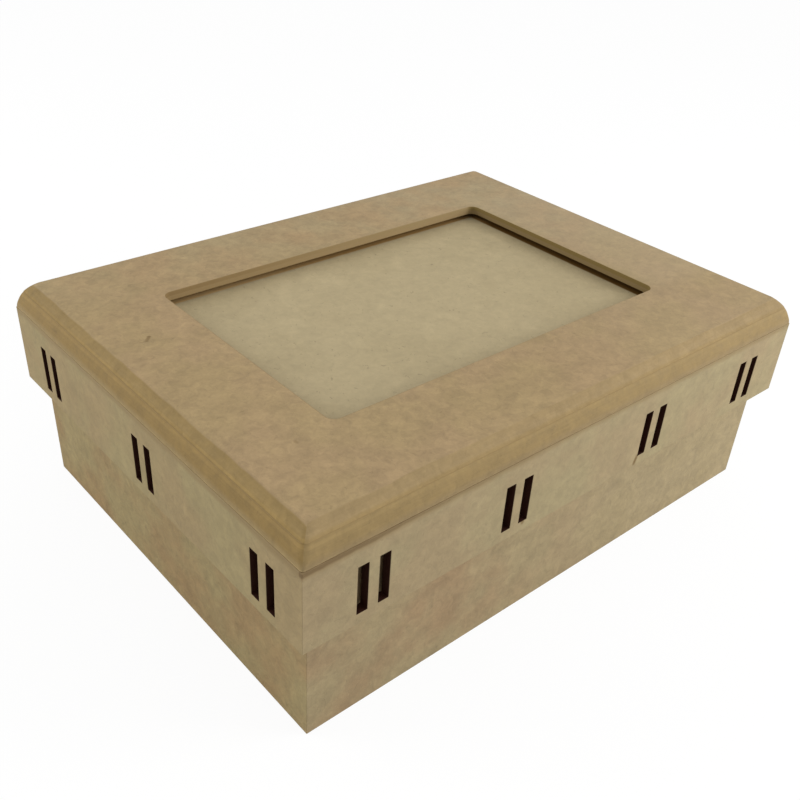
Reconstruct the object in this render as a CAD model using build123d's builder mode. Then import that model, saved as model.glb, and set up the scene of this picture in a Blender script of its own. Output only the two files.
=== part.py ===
from build123d import *
import os

# A photo box of thin boards with a slip-over lid. Sizes are in millimetres.
# The origin is the middle of the underside, +Z up, +X along the long sides,
# and the front is -Y. A board is modelled as it lies on the front side and is
# turned about Z to the other three.

# Photograph, 10 by 15 cm, and the picture window that shows it
photo_length = 150.0
photo_width = 100.0
photo_cover = 5.0
window_corner = 3.0
window_arris = 0.3

# The pocket for the photograph behind the window, and the panel that closes it
photo_clearance = 2.0
photo_space = 2.0
panel_ledge = 5.0
panel_clearance = 0.3
pocket_corner = 3.0

# Lid
lid_border = 35.0
skirt_height = 27.0
skirt_board = 3.0
frame_board_thickness = 6.0
window_board_thickness = 3.0

# Base
base_height = 65.0
base_wall = 3.0
base_floor = 3.0
lid_clearance = 1.5

# Upright outer corners, sanded round once the mitred boards are glued
corner_ease = 0.5

# Moulding round the lid's top: how far each stretch lies in from the skirt's face
lower_edge_ease = 0.4
lower_moulding_inset = 2.0
quirk = 0.3
upper_moulding_inset = 5.4
upper_moulding_radius = 12.0

# Ribbon slots in the skirt, in pairs: four on a long side and three on a short one
slot_width = 3.5
slot_height = 16.0
slot_rise = 3.5
slot_spacing = 7.0
long_corner_to_pair = 22.0
long_pair_to_pair = 52.0
short_corner_to_pair = 19.25
short_pair_shift = 2.3

# Turn buttons and the screws that hold them
button_from_corner = 32.0
button_hub_radius = 4.5
button_tip_radius = 3.0
button_bite = 4.0
button_thickness = 1.5
screw_radius = 1.5
screw_grip = 4.5
screw_clearance = 0.1
screw_head_radius = 3.0
screw_head_height = 1.8
screw_head_rounding = 1.0
screw_recess_width = 0.8
screw_recess_length = 3.6
screw_recess_depth = 0.9
pilot_spare = 0.5

# Sizes that follow
window_length = photo_length - 2 * photo_cover
window_width = photo_width - 2 * photo_cover
lid_length = window_length + 2 * lid_border
lid_width = window_width + 2 * lid_border
base_length = lid_length - 2 * (skirt_board + lid_clearance)
base_width = lid_width - 2 * (skirt_board + lid_clearance)
skirt_bottom = base_height - skirt_height
window_board_bottom = base_height + frame_board_thickness
slot_middle = skirt_bottom + slot_rise + slot_height / 2
pocket_length = photo_length + 2 * photo_clearance
pocket_width = photo_width + 2 * photo_clearance
rebate_length = pocket_length + 2 * panel_ledge
rebate_width = pocket_width + 2 * panel_ledge
panel_thickness = frame_board_thickness - photo_space
hole_radius = screw_radius + screw_clearance
button_bottom = base_height - button_thickness

front, right, back, left = 0, 90, 180, 270


# Flat boards that meet in mitred corners
def mitred_board(run, depth, thickness, low, height, turn, slots=()):
    """A board on one side of a box, run long and half of depth out from the middle."""
    along = Vector(1, 0, 0).rotate(Axis.Z, turn)
    outward = Vector(0, -1, 0).rotate(Axis.Z, turn)
    plan = Plane(origin=(0, 0, low), x_dir=along, z_dir=(0, 0, 1))
    face = Plane(origin=outward * (depth / 2), x_dir=along, z_dir=outward)
    outer = -depth / 2
    inner = outer + thickness
    with BuildPart() as board:
        with BuildSketch(plan):
            with BuildLine():
                Polyline(
                    (-run / 2, outer),
                    (run / 2, outer),
                    (run / 2 - thickness, inner),
                    (thickness - run / 2, inner),
                    close=True,
                )
            make_face()
            RectangleRounded(run, depth, corner_ease, mode=Mode.INTERSECT)
        extrude(amount=height)
        if slots:
            with BuildSketch(face):
                with Locations(*[(place, slot_middle) for place in slots]):
                    Rectangle(slot_width, slot_height)
            extrude(amount=-thickness, mode=Mode.SUBTRACT)
    return board.part


def slot_pairs(places):
    """The two slots of each pair, placed along a skirt board."""
    return [place + side * slot_spacing / 2 for place in places for side in (-1, 1)]


# Base: the floor fits between the four walls
with BuildPart() as floor_board:
    with BuildSketch(Plane.XY):
        Rectangle(base_length - 2 * base_wall, base_width - 2 * base_wall)
    extrude(amount=base_floor)

pieces = {"base_bottom": floor_board.part}

base_sides = {
    "base_front_wall": (base_length, base_width, front),
    "base_right_wall": (base_width, base_length, right),
    "base_back_wall": (base_length, base_width, back),
    "base_left_wall": (base_width, base_length, left),
}
for name, (run, depth, turn) in base_sides.items():
    pieces[name] = mitred_board(run, depth, base_wall, 0, base_height, turn)

# Skirt of the lid, with its ribbon slots
long_outer_pair = lid_length / 2 - long_corner_to_pair
long_inner_pair = long_outer_pair - long_pair_to_pair
short_outer_pair = lid_width / 2 - short_corner_to_pair
long_slots = slot_pairs((-long_outer_pair, -long_inner_pair, long_inner_pair, long_outer_pair))
short_slots = slot_pairs([short_pair_shift + step * short_outer_pair for step in (-1, 0, 1)])
skirt_sides = {
    "lid_front_skirt": (lid_length, lid_width, front, long_slots),
    "lid_right_skirt": (lid_width, lid_length, right, short_slots),
    "lid_back_skirt": (lid_length, lid_width, back, long_slots),
    "lid_left_skirt": (lid_width, lid_length, left, short_slots),
}
for name, (run, depth, turn, slots) in skirt_sides.items():
    pieces[name] = mitred_board(run, depth, skirt_board, skirt_bottom, skirt_height, turn, slots)


# Moulded boards: a section along each direction, and the board is what the two share
def frame_board_section(width):
    """Eased lower edge, then an arc that leans in and is upright where it starts."""
    with BuildSketch() as section:
        with BuildLine():
            Line((0, 0), (width / 2 - lower_edge_ease, 0))
            RadiusArc(
                (width / 2 - lower_edge_ease, 0),
                (width / 2, lower_edge_ease),
                -lower_edge_ease,
            )
            TangentArc(
                (width / 2, lower_edge_ease),
                (width / 2 - lower_moulding_inset, frame_board_thickness),
                tangent=(0, 1),
            )
            Line((width / 2 - lower_moulding_inset, frame_board_thickness), (0, frame_board_thickness))
            mirror(about=Plane.YZ)
        make_face()
    return section.sketch


def window_board_section(width):
    """A rounded edge set in from the board below by a small step."""
    foot = width / 2 - lower_moulding_inset - quirk
    top = width / 2 - upper_moulding_inset
    with BuildSketch() as section:
        with BuildLine():
            Line((0, 0), (foot, 0))
            RadiusArc((foot, 0), (top, window_board_thickness), -upper_moulding_radius)
            Line((top, window_board_thickness), (0, window_board_thickness))
            mirror(about=Plane.YZ)
        make_face()
    return section.sketch


def across(low, depth):
    """The plane at the back that a section drawn across the long way is extruded from."""
    return Plane(origin=(0, depth / 2, low), x_dir=(1, 0, 0), z_dir=(0, -1, 0))


def along_side(low, depth):
    """The same for a section drawn across the short way."""
    return Plane(origin=(-depth / 2, 0, low), x_dir=(0, 1, 0), z_dir=(1, 0, 0))


# Lid: frame board with the photograph's pocket, and from beneath the panel's rebate
button_sides = [(x, y) for y in (-1, 1) for x in (-1, 1)]
wall_face = base_width / 2 - base_wall
pivot_x = rebate_length / 2 - button_from_corner
pivot_y = (rebate_width / 2 + wall_face) / 2
button_reach = pivot_y - rebate_width / 2 + button_bite
pivots = [(x * pivot_x, y * pivot_y) for x, y in button_sides]

with BuildPart() as frame_board:
    with BuildSketch(across(base_height, lid_width)):
        add(frame_board_section(lid_length))
    extrude(amount=lid_width)
    with BuildSketch(along_side(base_height, lid_length)):
        add(frame_board_section(lid_width))
    extrude(amount=lid_length, mode=Mode.INTERSECT)
    with BuildSketch(Plane.XY.offset(base_height)):
        RectangleRounded(lid_length, lid_width, corner_ease)
    extrude(amount=frame_board_thickness, mode=Mode.INTERSECT)
    with BuildSketch(Plane.XY.offset(base_height)):
        RectangleRounded(pocket_length, pocket_width, pocket_corner)
    extrude(amount=frame_board_thickness, mode=Mode.SUBTRACT)
    with BuildSketch(Plane.XY.offset(base_height)):
        RectangleRounded(rebate_length, rebate_width, pocket_corner)
    extrude(amount=panel_thickness, mode=Mode.SUBTRACT)
    with BuildSketch(Plane.XY.offset(base_height)):
        with Locations(*pivots):
            Circle(hole_radius)
    extrude(amount=screw_grip + pilot_spare, mode=Mode.SUBTRACT)

pieces["lid_frame_board"] = frame_board.part

# Lid: window board, glued on top of it
with BuildPart() as window_board:
    with BuildSketch(across(window_board_bottom, lid_width)):
        add(window_board_section(lid_length))
    extrude(amount=lid_width)
    with BuildSketch(along_side(window_board_bottom, lid_length)):
        add(window_board_section(lid_width))
    extrude(amount=lid_length, mode=Mode.INTERSECT)
    with BuildSketch(Plane.XY.offset(window_board_bottom)):
        RectangleRounded(window_length, window_width, window_corner)
    extrude(amount=window_board_thickness, mode=Mode.SUBTRACT)
    top_face = window_board.faces().sort_by(Axis.Z)[-1]
    fillet(top_face.inner_wires()[0].edges(), window_arris)

pieces["lid_window_board"] = window_board.part

# Lid: the panel behind the photograph, flush with the frame board's underside
with BuildPart() as panel:
    with BuildSketch(Plane.XY.offset(base_height)):
        RectangleRounded(
            rebate_length - 2 * panel_clearance,
            rebate_width - 2 * panel_clearance,
            pocket_corner,
        )
    extrude(amount=panel_thickness)

pieces["photo_panel"] = panel.part

# Turn buttons: a round hub with a narrower tip that reaches over the panel
for number, ((x, y), (_, side_y)) in enumerate(zip(pivots, button_sides), start=1):
    with BuildPart() as button:
        with BuildSketch(Plane(origin=(x, y, button_bottom))):
            Circle(button_hub_radius)
            with Locations((0, -side_y * button_reach)):
                Circle(button_tip_radius)
            make_hull()
            Circle(hole_radius, mode=Mode.SUBTRACT)
        extrude(amount=button_thickness)
    pieces[f"turn_button_{number}"] = button.part

# Screws: pan heads with a cross recess, all four in one node
with BuildPart() as screws:
    with BuildSketch(Plane.XY.offset(button_bottom)):
        with Locations(*pivots):
            Circle(screw_head_radius)
    extrude(amount=-screw_head_height)
    fillet(screws.faces().sort_by(Axis.Z)[:len(pivots)].edges(), screw_head_rounding)
    with BuildSketch(Plane.XY.offset(button_bottom - screw_head_height)):
        with Locations(*pivots):
            Rectangle(screw_recess_length, screw_recess_width)
            Rectangle(screw_recess_width, screw_recess_length)
    extrude(amount=screw_recess_depth, mode=Mode.SUBTRACT)
    with BuildSketch(Plane.XY.offset(button_bottom)):
        with Locations(*pivots):
            Circle(screw_radius)
    extrude(amount=button_thickness + screw_grip)

pieces["turn_button_screws"] = screws.part

# Write every piece
os.makedirs("parts", exist_ok=True)
for name, piece in pieces.items():
    piece.label = name
    export_step(piece, f"parts/{name}.step")
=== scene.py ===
import math

import bmesh
import bpy
from mathutils import Matrix, Vector


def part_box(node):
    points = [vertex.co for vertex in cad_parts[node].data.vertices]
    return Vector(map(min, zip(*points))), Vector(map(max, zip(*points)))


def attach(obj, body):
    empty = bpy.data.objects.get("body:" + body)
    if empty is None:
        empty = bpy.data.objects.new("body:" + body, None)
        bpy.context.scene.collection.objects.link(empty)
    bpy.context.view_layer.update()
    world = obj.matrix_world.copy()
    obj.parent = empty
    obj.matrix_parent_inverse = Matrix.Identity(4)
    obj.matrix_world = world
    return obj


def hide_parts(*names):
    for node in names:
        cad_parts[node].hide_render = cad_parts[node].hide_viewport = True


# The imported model
# Everything below is in metres and in its frame: the origin is under the middle of the
# box, +Z is up, +X runs along the long sides and the front is -Y.
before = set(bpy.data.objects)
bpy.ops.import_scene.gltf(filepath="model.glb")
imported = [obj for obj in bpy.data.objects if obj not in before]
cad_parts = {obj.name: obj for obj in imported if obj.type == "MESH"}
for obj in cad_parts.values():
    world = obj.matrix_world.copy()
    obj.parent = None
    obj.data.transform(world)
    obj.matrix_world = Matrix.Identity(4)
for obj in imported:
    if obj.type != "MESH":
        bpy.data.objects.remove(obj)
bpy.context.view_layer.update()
MM = 0.001


# Walls of the base
# Four strips of raw 3 mm fibreboard, mitred at the ends and glued into a frame round the
# floor. The arrises are rubbed down, which leaves a fine round on every edge.
class Socket:
    """An output in a node tree. Sums and products of it add Math nodes."""

    def __init__(self, tree, output=None):
        self.tree = tree
        self.output = output

    def node(self, kind, settings=None, values=None, output=0):
        """Add a node: its settings first, then a value or a link for each input."""
        node = self.tree.nodes.new(kind)
        for name, setting in (settings or {}).items():
            setattr(node, name, setting)
        for name, value in (values or {}).items():
            for part in value if isinstance(value, list) else [value]:
                if isinstance(part, Socket):
                    self.tree.links.new(part.output, node.inputs[name])
                else:
                    node.inputs[name].default_value = part
        return Socket(self.tree, node.outputs[output])

    def other(self, name):
        """Another output of the same node."""
        return Socket(self.tree, self.output.node.outputs[name])

    def math(self, operation, *values):
        return self.node("ShaderNodeMath", {"operation": operation}, dict(enumerate(values)))

    def __add__(self, other):
        return self.math("ADD", self, other)

    def __sub__(self, other):
        return self.math("SUBTRACT", self, other)

    def __rsub__(self, other):
        return self.math("SUBTRACT", other, self)

    def __mul__(self, other):
        return self.math("MULTIPLY", self, other)

    __radd__ = __add__
    __rmul__ = __mul__

    def size(self):
        return self.math("ABSOLUTE", self)

    def vector(self, operation, *values):
        return self.node("ShaderNodeVectorMath", {"operation": operation}, dict(enumerate(values)))

    def packed(self, x, y, z):
        """A vector from three numbers or sockets."""
        return self.node("ShaderNodeCombineXYZ", {}, {0: x, 1: y, 2: z})

    def axes(self):
        """The X, Y and Z of a vector."""
        return [self.node("ShaderNodeSeparateXYZ", {}, {0: self}, axis) for axis in range(3)]

    def least(self, other):
        return self.math("MINIMUM", self, other)

    def most(self, other):
        return self.math("MAXIMUM", self, other)

    def rise(self, low, high):
        """0 up to low, 1 from high on, and a smooth climb between them."""
        return self.node(
            "ShaderNodeMapRange",
            {"interpolation_type": "SMOOTHSTEP"},
            {"Value": self, "From Min": low, "From Max": high},
        )

    def band(self, middle, half, soft):
        """1 within half of the middle value, fading to 0 over the soft distance beyond it."""
        return 1 - (self - middle).size().rise(half, half + soft)

    def mix(self, first, second):
        """The first colour where this is 0 and the second where it is 1."""
        return self.node("ShaderNodeMix", {"data_type": "RGBA"}, {0: self, 6: first, 7: second}, 2)

    def scaled(self, amount):
        """A colour or vector times a number or socket."""
        return self.node("ShaderNodeVectorMath", {"operation": "SCALE"}, {0: self, "Scale": amount})

    def noise(self, scale, detail=2.0, roughness=0.5, distortion=0.0):
        """Cloudy noise at this place, so many waves to the metre."""
        values = {
            "Vector": self,
            "Scale": scale,
            "Detail": detail,
            "Roughness": roughness,
            "Distortion": distortion,
        }
        return self.node("ShaderNodeTexNoise", {}, values)


def start_tree(name, inputs):
    """A geometry tree with named inputs, and those inputs as sockets."""
    tree = bpy.data.node_groups.new(name, "GeometryNodeTree")
    tree.interface.new_socket("Geometry", in_out="OUTPUT", socket_type="NodeSocketGeometry")
    for label, kind in inputs.items():
        tree.interface.new_socket(label, in_out="INPUT", socket_type=f"NodeSocket{kind}")
    outputs = tree.nodes.new("NodeGroupInput").outputs
    return tree, [Socket(tree, outputs[label]) for label in inputs]


def end_tree(geometry, material):
    """Make instances real, set the material and send the result out of the tree."""
    real = geometry.node("GeometryNodeRealizeInstances", {}, {0: geometry})
    dressed = real.node("GeometryNodeSetMaterial", {}, {"Geometry": real, "Material": material})
    end = dressed.tree.nodes.new("NodeGroupOutput")
    dressed.tree.links.new(dressed.output, end.inputs[0])


def layered(outline, layers):
    """Fill an outline and carry it up in layers, each with its rise and its growth in X and Y."""
    foot = outline.node("GeometryNodeFillCurve", {"mode": "NGONS"}, {"Curve": outline})
    outward = outline.vector("SIGN", outline.node("GeometryNodeInputPosition"))
    solid, top = foot, True
    for up, longer, wider in layers:
        values = {"Mesh": solid, "Selection": top, "Offset Scale": 0.0, "Individual": False}
        raised = solid.node("GeometryNodeExtrudeMesh", {"mode": "FACES"}, values)
        top = raised.other("Top")
        growth = outward.vector("MULTIPLY", outward, outward.packed(longer, wider, 0.0))
        move = growth.vector("ADD", growth, growth.packed(0.0, 0.0, up))
        values = {"Geometry": raised, "Selection": top, "Offset": move}
        solid = raised.node("GeometryNodeSetPosition", {}, values)
    under = foot.node("GeometryNodeFlipFaces", {}, {"Mesh": foot})
    joined = solid.node("GeometryNodeJoinGeometry", {}, {"Geometry": [solid, under]})
    return joined.node("GeometryNodeMergeByDistance", {}, {"Geometry": joined, "Distance": 1e-7})


def moved(geometry, translation=(0.0, 0.0, 0.0), rotation=(0.0, 0.0, 0.0)):
    values = {"Geometry": geometry, "Translation": translation, "Rotation": rotation}
    return geometry.node("GeometryNodeTransform", {}, values)


def board_tree():
    """A mitred board with rounded arrises, and a pair of slots through it at every point."""
    sizes = ["Run", "Height", "Thickness", "Arris", "Distance", "Middle", "Turn"]
    slots = ["Slot Width", "Slot Height", "Slot Spacing", "Slot Corner", "Slot Arris"]
    kinds = {"Pairs": "Geometry"} | dict.fromkeys(sizes + slots, "Float") | {"Material": "Material"}
    tree, sockets = start_tree("mitred board", kinds)
    pairs, run, height, thickness, arris, distance, middle, turn = sockets[:8]
    width, tall, spacing, corner, rim, material = sockets[8:]

    # Drawn flat on its inner face, so the mitre makes each layer longer than the last
    near = arris * (1 - math.sqrt(0.5))
    far = arris - near
    values = {"Width": run - thickness * 2, "Height": height - arris * 2}
    outline = run.node("GeometryNodeCurvePrimitiveQuadrilateral", {"mode": "RECTANGLE"}, values)
    board = layered(
        outline,
        [
            (near, near, far),
            (far, far, near),
            (thickness - arris * 2, thickness - arris * 2, 0.0),
            (far, far, near * -1),
            (near, far * -1, far * -1),
        ],
    )

    # Each slot opens a little at both faces, where the cutter leaves it
    past = 1 * MM
    values = {"Width": width + rim * 2, "Height": tall + rim * 2}
    outline = run.node("GeometryNodeCurvePrimitiveQuadrilateral", {"mode": "RECTANGLE"}, values)
    values = {"Curve": outline, "Radius": corner, "Count": 3}
    outline = outline.node("GeometryNodeFilletCurve", {"mode": "POLY"}, values)
    cutter = layered(
        outline,
        [
            (past, 0.0, 0.0),
            (rim, rim * -1, rim * -1),
            (thickness - rim * 2, 0.0, 0.0),
            (rim, rim, rim),
            (past, 0.0, 0.0),
        ],
    )
    cutter = moved(cutter, (0.0, 0.0, -past))
    values = {
        "Count": 2,
        "Start Location": run.packed(spacing * -0.5, 0.0, 0.0),
        "Offset": run.packed(spacing, 0.0, 0.0),
    }
    pair = run.node("GeometryNodeMeshLine", {"mode": "OFFSET"}, values)
    places = run.node("GeometryNodeInstanceOnPoints", {}, {"Points": pairs, "Instance": pair})
    places = places.node("GeometryNodeRealizeInstances", {}, {0: places})
    cutters = run.node("GeometryNodeInstanceOnPoints", {}, {"Points": places, "Instance": cutter})
    cutters = cutters.node("GeometryNodeRealizeInstances", {}, {0: cutters})
    settings = {"operation": "DIFFERENCE", "solver": "EXACT"}
    board = board.node("GeometryNodeMeshBoolean", settings, {"Mesh 1": board, "Mesh 2": cutters})

    # Stood up on the front side and then turned to its own
    upright = run.packed(math.pi / 2, 0.0, 0.0)
    board = moved(board, run.packed(0.0, thickness - distance, middle), upright)
    board = moved(board, rotation=run.packed(0.0, 0.0, turn))
    end_tree(board, material)
    return tree


def made_by(tree, name, values, points=((0.0, 0.0, 0.0),)):
    """Run a geometry tree on a mesh of bare points and keep the result as a plain mesh."""
    mesh = bpy.data.meshes.new(name)
    mesh.from_pydata(points, [], [])
    piece = bpy.data.objects.new(name, mesh)
    bpy.context.scene.collection.objects.link(piece)
    modifier = piece.modifiers.new(tree.name, "NODES")
    modifier.node_group = tree
    for item in tree.interface.items_tree:
        if item.in_out == "INPUT" and item.name in values:
            modifier[item.identifier] = values[item.name]
    depsgraph = bpy.context.evaluated_depsgraph_get()
    made = bpy.data.meshes.new_from_object(
        piece.evaluated_get(depsgraph), preserve_all_data_layers=True, depsgraph=depsgraph
    )
    piece.modifiers.clear()
    piece.data = made
    return piece


def colour(red, green, blue):
    """A colour given as the 0 to 255 values that a screen shows."""
    parts = [value / 255 for value in (red, green, blue)]
    return (*[p / 12.92 if p < 0.04045 else ((p + 0.055) / 1.055) ** 2.4 for p in parts], 1.0)


def new_finish(name):
    """A new material, and the place on the piece as a socket."""
    material = bpy.data.materials.new(name)
    material.use_nodes = True
    start = Socket(material.node_tree)
    return material, start.node("ShaderNodeTexCoord", {}, {}, "Object")


def close_finish(material, shade, roughness, height, depth, specular=0.25, metallic=0.0):
    """Link colour, roughness and height into the material's shader."""
    shader = material.node_tree.nodes["Principled BSDF"]
    values = {"Height": height, "Distance": depth, "Strength": 1.0}
    bump = height.node("ShaderNodeBump", {}, values)
    shader.inputs["Specular IOR Level"].default_value = specular
    shader.inputs["Metallic"].default_value = metallic
    for name, socket in {"Base Color": shade, "Roughness": roughness, "Normal": bump}.items():
        material.node_tree.links.new(socket.output, shader.inputs[name])
    return material


def fibreboard(place, plain, blush, seed, contrast=1.0):
    """Raw fibreboard: the colour of its face, its roughness and its height."""
    here = place.vector("ADD", place, (seed, seed * 0.7, seed * 1.3))
    blotch = here.noise(38.0, 3.0, 0.55).rise(0.36, 0.64)
    patch = here.noise(130.0, 3.0, 0.6, 0.3) - 0.5
    mottle = here.noise(330.0, 3.0, 0.6, 0.8) - 0.5
    grit = here.noise(1300.0, 2.0, 0.6) - 0.5
    curl = here.noise(360.0, 2.0, 0.5, 2.0) - 0.5
    broken = here.noise(260.0, 1.0).rise(0.50, 0.62)
    hair = (1 - curl.size().rise(0.0, 0.03)) * broken
    fleck = here.noise(560.0, 2.0, 0.6, 1.2).rise(0.65, 0.73)
    light = patch * 0.42 + mottle * 0.62 + grit * 0.22 - hair * 0.06 - fleck * 0.14
    shade = blotch.mix(plain, blush).scaled(1 + light * contrast)
    roughness = 0.74 + mottle * 0.3
    height = 0.5 + mottle * 0.8 + grit * 0.7 - hair * 0.3 - fleck * 0.4
    return shade, roughness, height


def corner_of(one, two):
    """The highest corner of the box round two nodes."""
    return Vector([max(pair) for pair in zip(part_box(one)[1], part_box(two)[1])])


def on_left(place, corner):
    """1 where the left side is the nearest of the box with this top corner, else 0."""
    across, along, _ = place.axes()
    others = (corner.x - across).least(corner.y - along.size())
    return (others - (across + corner.x)).rise(-0.1 * MM, 0.1 * MM)


def by_near_corner(place):
    """1 at the upright corner between front and left, fading to 0 about 4 cm along both sides."""
    across, along, _ = place.axes()
    return 1 - (across + along).rise(-175 * MM, -135 * MM)


def base_finish():
    """A redder board than the lid's, which shows most toward the near corner, where painted light
    evens the two sides.
    """
    material, place = new_finish("mdf_base")
    across = place.axes()[0]
    left = on_left(place, corner_of("base_right_wall", "base_back_wall"))
    blush = across.rise(-60 * MM, 40 * MM).mix(colour(160, 136, 103), colour(165, 148, 114))
    blush = left.mix(blush, colour(160, 135, 96))
    plain = left.mix(colour(163, 146, 111), colour(162, 145, 104))
    shade, roughness, height = fibreboard(place, plain, blush, 0.3, 0.9)
    # Painted light: toward the near corner the left side is lightened and the front darkened
    shade = shade.scaled(1 + by_near_corner(place) * (left * 0.065 - 0.02))
    return close_finish(material, shade, roughness, height, 0.05 * MM)


def board_sizes(node, neighbour, turn):
    """A board's sizes as if it lay on the front side, with its run out to its neighbour's face."""
    square = Matrix.Rotation(-turn, 3, "Z")
    one, two = [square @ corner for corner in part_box(node)]
    beside = [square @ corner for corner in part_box(neighbour)]
    return {
        "Run": 2 * max(abs(corner.x) for corner in beside),
        "Height": abs(two.z - one.z),
        "Thickness": abs(two.y - one.y),
        "Distance": -min(one.y, two.y),
        "Middle": (one.z + two.z) / 2,
        "Turn": turn,
    }


sides = {"front": 0.0, "right": math.pi / 2, "back": math.pi, "left": -math.pi / 2}
next_side = {"front": "right", "right": "back", "back": "left", "left": "front"}
mitred_board = board_tree()
wall_finish = base_finish()
for side, turn in sides.items():
    node = f"base_{side}_wall"
    sizes = board_sizes(node, f"base_{next_side[side]}_wall", turn)
    sizes |= {"Arris": 0.2 * MM, "Material": wall_finish}
    wall = made_by(mitred_board, f"wall_{side}", sizes, ())
    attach(wall, "base")
    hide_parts(node)


# Floor of the base
# A plain rectangle of the same board, glued in between the walls and flush with their
# lower edges. Its CAD shape is right, so it only gets the board's finish.
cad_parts["base_bottom"].data.materials.clear()
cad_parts["base_bottom"].data.materials.append(wall_finish)


# Skirt of the lid
# Four more mitred strips, 27 mm deep, that slip down over the base. The ribbon slots are
# burnt through with a laser, so their walls are charred black, with a little smoke below.
def inset_from(place, corner):
    """How far a place lies in from the nearer outer face of the box with this top corner."""
    along_x, along_y, _ = place.axes()
    return (corner.x - along_x.size()).least(corner.y - along_y.size())


def stain(place, centre, size):
    """1 at the centre of a soft spot on a surface and 0 outside its size in X, Y and Z."""
    away = place.vector("SUBTRACT", place, centre)
    away = away.vector("DIVIDE", away, size)
    return 1 - away.vector("LENGTH", away).other("Value").rise(0.3, 1.0)


def skirt_finish():
    """The board's face, a rubbed top edge with a painted shadow line, smoke marks, and charred slot
    walls.
    """
    material, place = new_finish("mdf_skirt")
    across, along, up = place.axes()
    left = on_left(place, skirt_corner)
    near = by_near_corner(place)
    plain = left.mix(colour(165, 150, 114), colour(165, 149, 109))
    blush = left.mix(colour(164, 145, 111), colour(164, 144, 106))
    shade, roughness, height = fibreboard(place, plain, blush, 1.1, 0.7)
    # Painted light: toward the near corner the left side is lightened and the front darkened
    shade = shade.scaled(1 + near * (left * 0.043 - 0.028))

    # Smoke has stained the front under a slot right of its middle and under one left of it
    face = -skirt_corner.y
    for run, below in ((25.5, 0.1), (25.1, 1.2), (24.8, 2.2), (-27.4, 0.2)):
        centre = (run * MM, face, slot_low - below * MM)
        smoke = stain(place, centre, (1.1 * MM, 9 * MM, 1.4 * MM))
        shade = (smoke * 0.65).mix(shade, colour(112, 86, 44))

    # The top edge is rubbed brown, lowest at the near corner, and a painted shadow line under the
    # moulding darkens it along the front and round that corner
    on_front = 1 - along.rise(face + 1 * MM, face + 1.5 * MM)
    middle = across.band(10 * MM, 25 * MM, 45 * MM) * on_front
    uneven = (place.noise(150.0, 2.0) - 0.5) * (1.4 * MM)
    edge = up + near * (0.6 * MM) - middle * (0.5 * MM) + uneven
    rubbed = edge.rise(skirt_corner.z - 2.6 * MM, skirt_corner.z - 0.9 * MM)
    shade = (rubbed * 0.7).mix(shade, colour(151, 130, 92))
    # Painted shadow line just under the moulding, strongest along the front and at the near corner
    joint_shadow = edge.band(skirt_corner.z - 0.1 * MM, 0.3 * MM, 1.0 * MM)
    dark = on_front * (0.40 - across.rise(-80 * MM, 20 * MM) * 0.30 + near * 0.22) + near * 0.12
    shade = (joint_shadow * dark).mix(shade, colour(112, 89, 58))

    # Walls of the slots, between the board's two faces
    depth = inset_from(place, skirt_corner)
    past_inside = depth.rise(skirt_board - 0.1 * MM, skirt_board - 0.02 * MM)
    cut_wall = depth.rise(0.02 * MM, 0.12 * MM) * (1 - past_inside)
    charred = cut_wall * up.band(slot_middle, slot_height / 2 + 0.1 * MM, 0.1 * MM)
    shade = charred.mix(shade, colour(48, 16, 3))
    return close_finish(material, shade, roughness, height, 0.05 * MM)


skirt_corner = corner_of("lid_right_skirt", "lid_back_skirt")
skirt_board = 3 * MM
slot_width = 3.5 * MM
slot_height = 16 * MM
slot_spacing = 7 * MM
slot_rise = 3.5 * MM
slot_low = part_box("lid_front_skirt")[0].z + slot_rise
slot_middle = slot_low + slot_height / 2
long_corner_to_pair = 22 * MM
long_pair_to_pair = 52 * MM
short_corner_to_pair = 19.25 * MM
short_pair_shift = 2.3 * MM
long_outer = skirt_corner.x - long_corner_to_pair
long_inner = long_outer - long_pair_to_pair
long_pairs = [-long_outer, -long_inner, long_inner, long_outer]
short_outer = skirt_corner.y - short_corner_to_pair
short_pairs = [short_pair_shift + step * short_outer for step in (-1, 0, 1)]
mdf_skirt = skirt_finish()
for side, turn in sides.items():
    node = f"lid_{side}_skirt"
    sizes = board_sizes(node, f"lid_{next_side[side]}_skirt", turn) | {
        "Arris": 0.15 * MM,
        "Slot Width": slot_width,
        "Slot Height": slot_height,
        "Slot Spacing": slot_spacing,
        "Slot Corner": 0.2 * MM,
        "Slot Arris": 0.1 * MM,
        "Material": mdf_skirt,
    }
    pairs = long_pairs if side in ("front", "back") else short_pairs
    points = [(run, slot_middle - sizes["Middle"], 0.0) for run in pairs]
    skirt = made_by(mitred_board, f"skirt_{side}", sizes, points)
    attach(skirt, "lid")
    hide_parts(node)


# Frame board of the lid
# 6 mm board with its outer edge run over a moulding cutter: upright just above the skirt,
# then leaning in. The pocket and the rebate for the panel are milled from beneath.
def arc(start, end, bulge, steps):
    """Points from start to end on an arc that stands out to the left of the way by bulge."""
    (ax, ay), (bx, by) = start, end
    chord = math.dist(start, end)
    radius = (chord * chord / 4 + bulge * bulge) / (2 * bulge)
    middle = Vector(((ax + bx) / 2, (ay + by) / 2))
    way = Vector((bx - ax, by - ay)) / chord
    side = Vector((-way.y, way.x))
    centre = middle - side * (radius - bulge)
    half = math.asin(chord / 2 / radius)
    points = []
    for step in range(steps + 1):
        angle = half * (2 * step / steps - 1)
        point = centre + side * radius * math.cos(angle) + way * radius * math.sin(angle)
        points.append((point.x, point.y))
    return points


def ring(half_length, half_width, height, corner, steps=6):
    """Points round a level rectangle with rounded corners, anticlockwise."""
    points = []
    for quarter, (side_x, side_y) in enumerate([(1, 1), (-1, 1), (-1, -1), (1, -1)]):
        for step in range(steps + 1):
            angle = math.pi / 2 * (quarter + step / steps)
            x = side_x * (half_length - corner) + corner * math.cos(angle)
            y = side_y * (half_width - corner) + corner * math.sin(angle)
            points.append((x, y, height))
    return points


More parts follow.
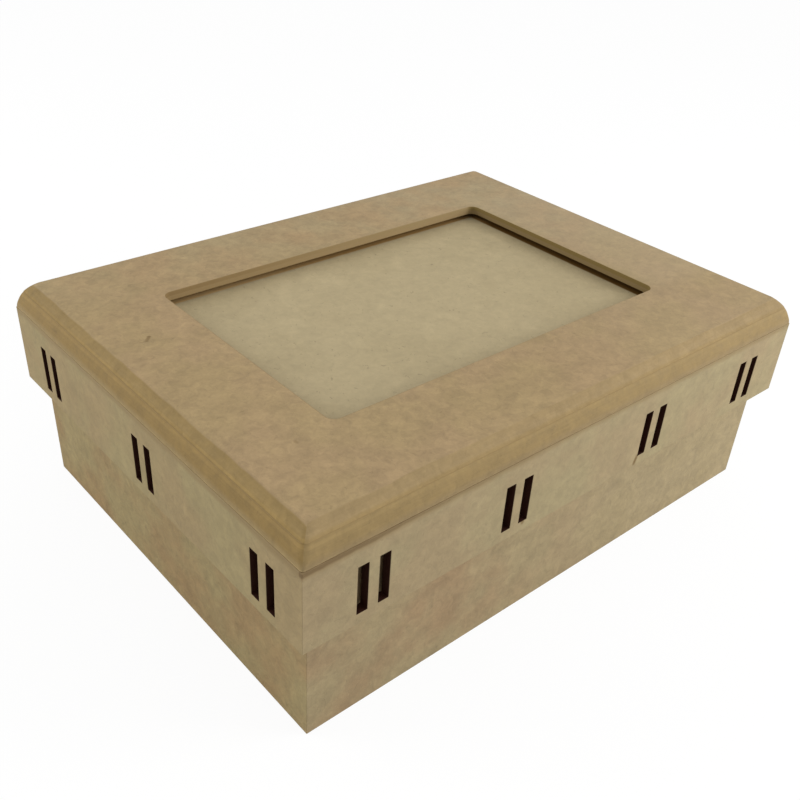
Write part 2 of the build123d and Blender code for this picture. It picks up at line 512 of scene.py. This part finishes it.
def lofted(name, rings, material, smooth_below=25):
    """Skin rings of points one after another, and the last one back to the first."""
    shape = bmesh.new()
    rows = [[shape.verts.new(point) for point in points] for points in rings]
    count = len(rows[0])
    for one, two in zip(rows, rows[1:] + rows[:1]):
        for k in range(count):
            shape.faces.new((one[k - 1], one[k], two[k], two[k - 1]))
    bmesh.ops.recalc_face_normals(shape, faces=shape.faces)
    mesh = bpy.data.meshes.new(name)
    shape.to_mesh(mesh)
    shape.free()
    mesh.shade_smooth()
    mesh.set_sharp_from_angle(angle=math.radians(smooth_below))
    mesh.materials.append(material)
    piece = bpy.data.objects.new(name, mesh)
    bpy.context.scene.collection.objects.link(piece)
    return piece


def machined(place, plain, seed):
    """Fibreboard cut across its core: darker and browner, with fine lines along the edge."""
    shade, roughness, height = fibreboard(place, plain, plain, seed, 0.7)
    flat = place.vector("MULTIPLY", place, (0.04, 0.04, 1.0))
    lines = flat.noise(2600.0, 3.0, 0.6) - 0.5
    return shade.scaled(1 + lines * 0.22), roughness, height + lines * 0.6


def moulding_finish():
    """Moulded core outside, with a painted highlight on the arris at the glue line, and a sanded face
    beneath.
    """
    material, place = new_finish("mdf_moulding")
    up = place.axes()[2]
    left = on_left(place, lid_high)
    near = by_near_corner(place)
    # Painted light in the tones by side: on the left the upper band is darker, the lower band lighter
    lower = left.mix(colour(149, 128, 91), colour(158, 136, 95))
    upper = left.mix(colour(150, 127, 84), colour(147, 122, 75))
    core = up.rise(lid_low.z + lower_ease, lid_low.z + 3 * MM).mix(lower, upper)
    cut_shade, roughness, height = machined(place, core, 2.2)
    face_shade, _, _ = fibreboard(place, colour(166, 152, 117), colour(165, 147, 114), 5.3)
    shade = up.rise(lid_low.z + 0.02 * MM, lid_low.z + 0.06 * MM).mix(face_shade, cut_shade)

    # The arris at the top, a little lower on the left and at the near corner, and the eased
    # edge at the bottom both get a painted highlight
    lowered = left * (0.22 * MM) + near * (1 - left) * (0.45 * MM)
    arris = (up + lowered).band(lid_high.z - 0.45 * MM, 0.2 * MM, 0.3 * MM)
    eased = up.band(lid_low.z + 0.2 * MM, 0.2 * MM, 0.3 * MM)
    lighter = arris * (0.06 + left * 0.04 + near * 0.05) + eased * (0.15 + left * 0.10)
    shade = shade.scaled(1 + lighter)

    # Brown on the ledge that the window board leaves, and painted shade inside the pocket
    ledge = up.rise(lid_high.z - 0.12 * MM, lid_high.z - 0.04 * MM)
    shade = ledge.mix(shade, colour(151, 127, 85))
    above_panel = up.rise(rebate_top - 0.1 * MM, rebate_top - 0.02 * MM)
    inside = inset_from(place, lid_high).rise(20 * MM, 22 * MM)
    shade = (inside * above_panel).mix(shade, colour(96, 74, 44))
    return close_finish(material, shade, roughness, height, 0.05 * MM)


lid_low, lid_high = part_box("lid_frame_board")
half_length, half_width = lid_high.x, lid_high.y
lower_ease = 0.4 * MM
lower_inset = 2.0 * MM
lean_bulge = 0.49 * MM
lower_corner = 0.8 * MM
upper_corner = 2.2 * MM
corner_climb = 3 * MM
ease_bulge = lower_ease * (1 - math.sqrt(0.5))
nose = arc((lower_ease, lid_low.z), (0.0, lid_low.z + lower_ease), ease_bulge, 5)
lean = arc((0.0, lid_low.z + lower_ease), (lower_inset, lid_high.z), lean_bulge, 10)
rings = []
for inset, height in nose + lean[1:]:
    climbed = min(1.0, (height - lid_low.z) / corner_climb)
    corner = lower_corner + (upper_corner - lower_corner) * climbed
    rings.append(ring(half_length - inset, half_width - inset, height, corner))
pocket = (77 * MM, 52 * MM)
rebate = (82 * MM, 57 * MM)
rebate_top = lid_low.z + 4 * MM
pocket_corner = 3 * MM
rings.append(ring(*pocket, lid_high.z, pocket_corner))
rings.append(ring(*pocket, rebate_top, pocket_corner))
rings.append(ring(*rebate, rebate_top, pocket_corner))
rings.append(ring(*rebate, lid_low.z, pocket_corner))
mdf_moulding = moulding_finish()
frame_board = lofted("frame_board_moulded", rings, mdf_moulding)
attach(frame_board, "lid")
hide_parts("lid_frame_board")


# Window board of the lid
# 3 mm board with the picture window cut out and its outer edge rounded over. It is glued
# on top of the frame board, a hair's breadth in from its edge.
def top_face(place):
    """Sanded face, greyer and paler toward the right, with a small dent and a nick on the left."""
    across, along, _ = place.axes()
    khaki = (along * 0.8 + across * 0.3).rise(-10 * MM, 90 * MM)
    plain = khaki.mix(colour(168, 145, 105), colour(166, 149, 115))
    shade, roughness, height = fibreboard(place, plain, colour(169, 144, 107), 3.7, 0.9)
    beside_window = across.rise(66 * MM, 76 * MM) * (1 - along.size().rise(38 * MM, 55 * MM))
    paler = across.rise(0.0, 60 * MM) * 0.08 + beside_window * 0.12
    shade = paler.mix(shade, colour(190, 176, 150))
    dent = stain(place, (-83.2 * MM, -47.2 * MM, board_high.z), (0.8 * MM, 1.3 * MM, 1 * MM))
    marks = dent * 0.35
    for step in range(4):
        centre = ((-86.9 - 0.6 * step) * MM, (22.6 - 0.65 * step) * MM, board_high.z)
        nick = stain(place, centre, (0.9 * MM, 0.9 * MM, 1 * MM))
        marks = marks.most(nick * (0.75 - 0.08 * step))
    return marks.mix(shade, colour(116, 92, 56)), roughness, height


def moulded_edge(place):
    """The colour of the moulded core: yellowed by glue at its foot, with painted shade on the left.
    """
    across, along, up = place.axes()
    left = on_left(place, lid_high)
    # Painted shade makes the left side's tones darker
    tone = left.mix(colour(159, 136, 96), colour(152, 128, 82))
    glued = left.mix(colour(155, 131, 87), colour(149, 124, 76))
    tone = up.rise(board_low.z + 0.3 * MM, board_low.z + 1.1 * MM).mix(glued, tone)
    core, _, _ = machined(place, tone, 6.1)

    # Painted light on the left's arris and at the near corner's foot, and darker toward both far ends
    arris = up.band(board_low.z + 0.42 * MM, 0.14 * MM, 0.2 * MM)
    foot = 1 - up.rise(board_low.z + 0.8 * MM, board_low.z + 2 * MM)
    far = across.rise(60 * MM, 80 * MM).most(along.rise(40 * MM, 55 * MM))
    lighter = arris * left * 0.12 + by_near_corner(place) * foot * 0.09 - far * 0.07
    return core.scaled(1 + lighter)


def window_walls(place, shade):
    """The window's walls in a shade: browner above and to the left, darkest at the right end from
    scorch and painted shade.
    """
    across, along, up = place.axes()
    beside = place.packed(
        (across.size() - (window[0] - window_corner)).most(0.0),
        (along.size() - (window[1] - window_corner)).most(0.0),
        0.0,
    )
    beyond = beside.vector("LENGTH", beside).other("Value") - window_corner
    wall = 1 - beyond.rise(0.16 * MM, 0.34 * MM)
    fade = across.rise(-75 * MM, 40 * MM)
    # The right end's wall is scorched and also carries painted shade
    scorch_and_shade = across.rise(66 * MM, 69 * MM)
    upper = fade.mix(colour(135, 111, 72), colour(150, 129, 90))
    upper = scorch_and_shade.mix(upper, colour(123, 103, 57))
    lower = fade.mix(colour(145, 122, 83), colour(152, 130, 92))
    lower = scorch_and_shade.mix(lower, colour(128, 108, 71))
    depth = board_high.z - up
    return wall.mix(shade, depth.rise(1.1 * MM, 1.7 * MM).mix(upper, lower))


def top_finish():
    """The sanded face, its moulded edge, the window's walls, and painted shade on the underside."""
    material, place = new_finish("mdf_lid_top")
    up = place.axes()[2]
    wander = (place.noise(90.0, 2.0) - 0.5) * (0.8 * MM)
    inset = inset_from(place, lid_high) + wander + on_left(place, lid_high) * (0.5 * MM)
    on_face = inset.rise(top_inset - 0.3 * MM, top_inset + 0.3 * MM)
    shade, roughness, height = top_face(place)
    shade = on_face.mix(moulded_edge(place), shade)
    shade = window_walls(place, shade)
    # Painted shade on the underside, in from its glued margin
    under = 1 - up.rise(board_low.z + 0.01 * MM, board_low.z + 0.03 * MM)
    shade = (under * inset.rise(8 * MM, 9 * MM)).mix(shade, colour(90, 68, 38))
    return close_finish(material, shade, roughness, height, 0.05 * MM)


board_low, board_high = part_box("lid_window_board")
foot_inset = lower_inset + 0.1 * MM
top_inset = 5.4 * MM
round_over_bulge = 0.19 * MM
round_over = arc((foot_inset, board_low.z), (top_inset, board_high.z), round_over_bulge, 10)
outer_corner = 1.5 * MM
rings = []
for inset, height in round_over:
    rings.append(ring(half_length - inset, half_width - inset, height, outer_corner))
window = (70 * MM, 45 * MM)
window_corner = 3 * MM
window_arris = 0.3 * MM
for angle in (0.0, 30.0, 60.0, 90.0):
    out = window_arris * (1 - math.sin(math.radians(angle)))
    down = window_arris * (1 - math.cos(math.radians(angle)))
    rings.append(ring(window[0] + out, window[1] + out, board_high.z - down, window_corner + out))
rings.append(ring(*window, board_low.z, window_corner))
mdf_lid_top = top_finish()
window_board = lofted("window_board_moulded", rings, mdf_lid_top)
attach(window_board, "lid")
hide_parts("lid_window_board")


# Photo panel
# The 4 mm fibreboard behind the photograph, let into the rebate from beneath and held there
# by the turn buttons. Its CAD shape is right, so it only gets a finish.
def panel_finish():
    """Paler than the lid, with pale patches and dark specks, and a painted shadow under the window's
    edge.
    """
    material, place = new_finish("mdf_panel")
    plain, blush = colour(181, 165, 129), colour(178, 162, 126)
    shade, roughness, height = fibreboard(place, plain, blush, 4.9, 0.45)
    here = place.vector("MULTIPLY", place, (1.0, 0.7, 1.0))
    pale = here.noise(70.0, 2.0, 0.5, 0.6).rise(0.56, 0.70)
    speck = here.noise(800.0, 1.0, 0.5, 1.0).rise(0.70, 0.76)
    shade = shade.scaled(1 + pale * 0.06 - speck * 0.22)
    across, along, up = place.axes()
    # Painted shadow where the panel runs on under the window board
    above = up.rise(panel_top - 0.5 * MM, panel_top - 0.1 * MM)
    long_edge = (along.size() - window[1]).rise(0.0, 0.9 * MM) * above
    long_shadow = across.rise(-45 * MM, 10 * MM).mix(colour(194, 158, 105), colour(170, 132, 78))
    shade = long_edge.mix(shade, long_shadow)
    short_edge = (across.size() - window[0]).rise(-0.7 * MM, 0.3 * MM) * above
    short_shadow = along.rise(34 * MM, 44 * MM).mix(colour(106, 74, 26), colour(150, 112, 60))
    shade = short_edge.mix(shade, short_shadow)
    return close_finish(material, shade, roughness, height, 0.05 * MM)


panel_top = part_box("photo_panel")[1].z
mdf_panel = panel_finish()
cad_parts["photo_panel"].data.materials.clear()
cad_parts["photo_panel"].data.materials.append(mdf_panel)


# Turn buttons
# Four small plates punched from 1.5 mm steel and zinc-plated. Each turns on its screw, and
# its narrower tip reaches over the panel's edge to hold it in.
def steel_finish(name, tone, brushed):
    """Plated steel: mottled plating over fine brushing along X."""
    material, place = new_finish(name)
    along = place.vector("MULTIPLY", place, (0.1, 1.0, 1.0))
    grain = along.noise(3200.0, 2.0, 0.5) - 0.5
    cloud = place.noise(260.0, 3.0, 0.6) - 0.5
    shade = (0.5 + cloud).mix(tone, colour(168, 166, 158)).scaled(1 + grain * brushed)
    roughness = 0.34 + cloud * 0.25 + grain * 0.2
    return close_finish(material, shade, roughness, 0.5 + grain * brushed, 0.01 * MM, 0.5, 1.0)


def plate_ring(pivot, reach, trim, height, corners=24):
    """Points round the hull of the hub and tip circles, trimmed in all round."""
    hub = hub_radius - trim
    tip = tip_radius - trim
    lean = math.asin((hub - tip) / abs(reach))
    toward = math.copysign(math.pi / 2, reach)
    points = []
    for radius, shift, start, sweep in (
        (tip, reach, toward - math.pi / 2 + lean, math.pi - 2 * lean),
        (hub, 0.0, toward + math.pi / 2 - lean, math.pi + 2 * lean),
    ):
        for step in range(corners + 1):
            angle = start + sweep * step / corners
            x = pivot[0] + radius * math.cos(angle)
            y = pivot[1] + shift + radius * math.sin(angle)
            points.append((x, y, height))
    return points


def hole_ring(outer, pivot, radius, height):
    """Points round a hole, each on the line from its middle to the outer point it faces."""
    points = []
    for x, y, _ in outer:
        away = Vector((x - pivot[0], y - pivot[1])).normalized() * radius
        points.append((pivot[0] + away.x, pivot[1] + away.y, height))
    return points


steel_button = steel_finish("steel_button", colour(196, 196, 190), 0.35)
hub_radius = 4.5 * MM
tip_radius = 3 * MM
plate_arris = 0.25 * MM
hole_radius = 1.6 * MM
pivots = []
for number, side_y in enumerate((-1, -1, 1, 1), start=1):
    node = f"turn_button_{number}"
    low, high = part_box(node)
    pivot_y = high.y - hub_radius if side_y > 0 else low.y + hub_radius
    pivot = ((low.x + high.x) / 2, pivot_y)
    pivots.append((*pivot, low.z))
    reach = -side_y * (high.y - low.y - hub_radius - tip_radius)
    outline = plate_ring(pivot, reach, 0.0, low.z)
    rings = [
        plate_ring(pivot, reach, 0.0, low.z + plate_arris),
        plate_ring(pivot, reach, 0.0, high.z - plate_arris),
        plate_ring(pivot, reach, plate_arris, high.z),
        hole_ring(outline, pivot, hole_radius + plate_arris, high.z),
        hole_ring(outline, pivot, hole_radius, high.z - plate_arris),
        hole_ring(outline, pivot, hole_radius, low.z + plate_arris),
        hole_ring(outline, pivot, hole_radius + plate_arris, low.z),
        plate_ring(pivot, reach, plate_arris, low.z),
    ]
    plate = lofted(f"plate_{number}", rings, steel_button)
    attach(plate, node)
    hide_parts(node)


# Screws of the turn buttons
# Steel pan-head screws with a cross recess, driven up into the frame board. Their heads
# are turned domes, which the tree draws as a cylinder narrowed by a rule.
def screw_tree():
    """A pan-head screw, pointing up, at every point."""
    sizes = ["Head Radius", "Head Height", "Shaft Radius", "Shaft Length"]
    recess = ["Recess Length", "Recess Width", "Recess Depth"]
    kinds = {"Pivots": "Geometry"} | dict.fromkeys(sizes + recess, "Float") | {"Material": "Material"}
    tree, sockets = start_tree("pan head screw", kinds)
    places, head_radius, head_height, shaft_radius, shaft_length = sockets[:5]
    recess_length, recess_width, recess_depth, material = sockets[5:]

    # Head: the radius falls off with depth, slowly at first and then round the edge
    settings = {"fill_type": "NGON"}
    values = {"Vertices": 48, "Side Segments": 14, "Radius": head_radius, "Depth": head_height}
    head = head_radius.node("GeometryNodeMeshCylinder", settings, values)
    position = head.node("GeometryNodeInputPosition")
    down = 0.5 - position.math("DIVIDE", position.axes()[2], head_height)
    narrow = position.math("POWER", 1 - down.math("POWER", down * 0.97, 3.0), 1 / 3)
    shape = position.vector("MULTIPLY", position, position.packed(narrow, narrow, 1.0))
    head = head.node("GeometryNodeSetPosition", {}, {"Geometry": head, "Position": shape})
    head = moved(head, head_radius.packed(0.0, 0.0, head_height * -0.5))

    # Recess: two crossed slots that narrow as they go in
    past = 1 * MM
    size = head.packed(recess_length, recess_width, recess_depth + past)
    blade = head.node("GeometryNodeMeshCube", {}, {"Size": size})
    position = head.node("GeometryNodeInputPosition")
    taper = 1 - position.axes()[2].rise(-past, past) * 0.35
    shape = position.vector("MULTIPLY", position, position.packed(taper, taper, 1.0))
    blade = blade.node("GeometryNodeSetPosition", {}, {"Geometry": blade, "Position": shape})
    lift = (recess_depth - past) * 0.5 - head_height
    blade = moved(blade, head.packed(0.0, 0.0, lift))
    crossed = moved(blade, rotation=(0.0, 0.0, math.pi / 2))
    settings = {"operation": "DIFFERENCE", "solver": "EXACT"}
    values = {"Mesh 1": head, "Mesh 2": [blade, crossed]}
    head = head.node("GeometryNodeMeshBoolean", settings, values)

    # Shaft, which starts a little way inside the head
    overlap = 0.2 * MM
    values = {"Vertices": 32, "Radius": shaft_radius, "Depth": shaft_length + overlap}
    shaft = head.node("GeometryNodeMeshCylinder", {"fill_type": "NGON"}, values)
    shaft = moved(shaft, head.packed(0.0, 0.0, (shaft_length - overlap) * 0.5))
    screw = head.node("GeometryNodeJoinGeometry", {}, {"Geometry": [head, shaft]})
    screws = head.node("GeometryNodeInstanceOnPoints", {}, {"Points": places, "Instance": screw})
    end_tree(screws, material)
    return tree


screws_low, screws_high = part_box("turn_button_screws")
screw_sizes = {
    "Head Radius": 3 * MM,
    "Head Height": pivots[0][2] - screws_low.z,
    "Shaft Radius": 1.5 * MM,
    "Shaft Length": screws_high.z - pivots[0][2],
    "Recess Length": 3.6 * MM,
    "Recess Width": 0.8 * MM,
    "Recess Depth": 0.9 * MM,
    "Material": steel_finish("steel_screw", colour(206, 205, 198), 0.15),
}
screws = made_by(screw_tree(), "pan_head_screws", screw_sizes, pivots)
screws.data.set_sharp_from_angle(angle=math.radians(30))
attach(screws, "lid")
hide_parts("turn_button_screws")


# Floor, light and camera
# A white table under a white tent, with a soft lamp for each of the two sides that show.
# The camera stands where the photograph was taken from, as found from the box's edges.
def table_finish():
    """Matt and pale, and almost plain white to the camera, so that a faint shadow stays."""
    material, place = new_finish("table")
    tree = material.node_tree
    shader = tree.nodes["Principled BSDF"]
    shader.inputs["Base Color"].default_value = (0.6, 0.6, 0.6, 1.0)
    shader.inputs["Roughness"].default_value = 0.9
    white = place.node("ShaderNodeEmission", {}, {"Color": (1.0, 1.0, 1.0, 1.0), "Strength": 1.08})
    camera_ray = place.node("ShaderNodeLightPath", {}, {}, "Is Camera Ray")
    mixed = white.node("ShaderNodeMixShader", {}, {0: camera_ray * 0.85, 2: white})
    tree.links.new(shader.outputs[0], mixed.output.node.inputs[1])
    tree.links.new(mixed.output, tree.nodes["Material Output"].inputs["Surface"])
    return material


table_half = 3.0
table_sides = ((-1, -1), (1, -1), (1, 1), (-1, 1))
table_corners = [(x * table_half, y * table_half, 0.0) for x, y in table_sides]
table_mesh = bpy.data.meshes.new("table")
table_mesh.from_pydata(table_corners, [], [(0, 1, 2, 3)])
table_mesh.materials.append(table_finish())
table = bpy.data.objects.new("table", table_mesh)
bpy.context.scene.collection.objects.link(table)

world = bpy.data.worlds.new("tent")
bpy.context.scene.world = world
world.use_nodes = True
backdrop = Socket(world.node_tree)
camera_ray = backdrop.node("ShaderNodeLightPath", {}, {}, "Is Camera Ray")
background = world.node_tree.nodes["Background"]
background.inputs["Color"].default_value = (1.0, 1.0, 1.0, 1.0)
world.node_tree.links.new((0.66 + camera_ray * 0.34).output, background.inputs["Strength"])


def lamp(name, place, target, size, power):
    """A square soft lamp at a place, turned to face a target."""
    light = bpy.data.lights.new(name, "AREA")
    light.size = size
    light.energy = power
    holder = bpy.data.objects.new(name, light)
    holder.location = place
    holder.rotation_euler = (Vector(target) - Vector(place)).to_track_quat("-Z", "Y").to_euler()
    bpy.context.scene.collection.objects.link(holder)


lamp("softbox_right", (0.50, -0.50, 0.30), (0.10, -0.08, 0.04), 0.4, 3.5)
lamp("softbox_left", (-0.55, 0.45, 0.30), (-0.10, 0.08, 0.04), 0.4, 1.9)

view_azimuth = math.radians(47.17)
view_drop = math.radians(34.41)
view_roll = math.radians(3.82)
image_width = 800
focal_length = 956.17
centre_x, centre_y = 400.97, 428.77
camera = bpy.data.objects.new("camera", bpy.data.cameras.new("camera"))
camera.data.sensor_width = 36.0
camera.data.lens = focal_length / image_width * camera.data.sensor_width
camera.data.shift_x = 0.5 - centre_x / image_width
camera.data.shift_y = centre_y / image_width - 0.5
camera.data.clip_start = 0.01
camera.location = (-0.19902, -0.21129, 0.21662)
turned = Matrix.Rotation(view_azimuth - math.pi / 2, 3, "Z")
tilted = Matrix.Rotation(math.pi / 2 - view_drop, 3, "X")
rolled = Matrix.Rotation(view_roll, 3, "Z")
camera.rotation_euler = (turned @ tilted @ rolled).to_euler()
bpy.context.scene.collection.objects.link(camera)
bpy.context.scene.camera = camera
bpy.context.scene.view_settings.view_transform = "Standard"
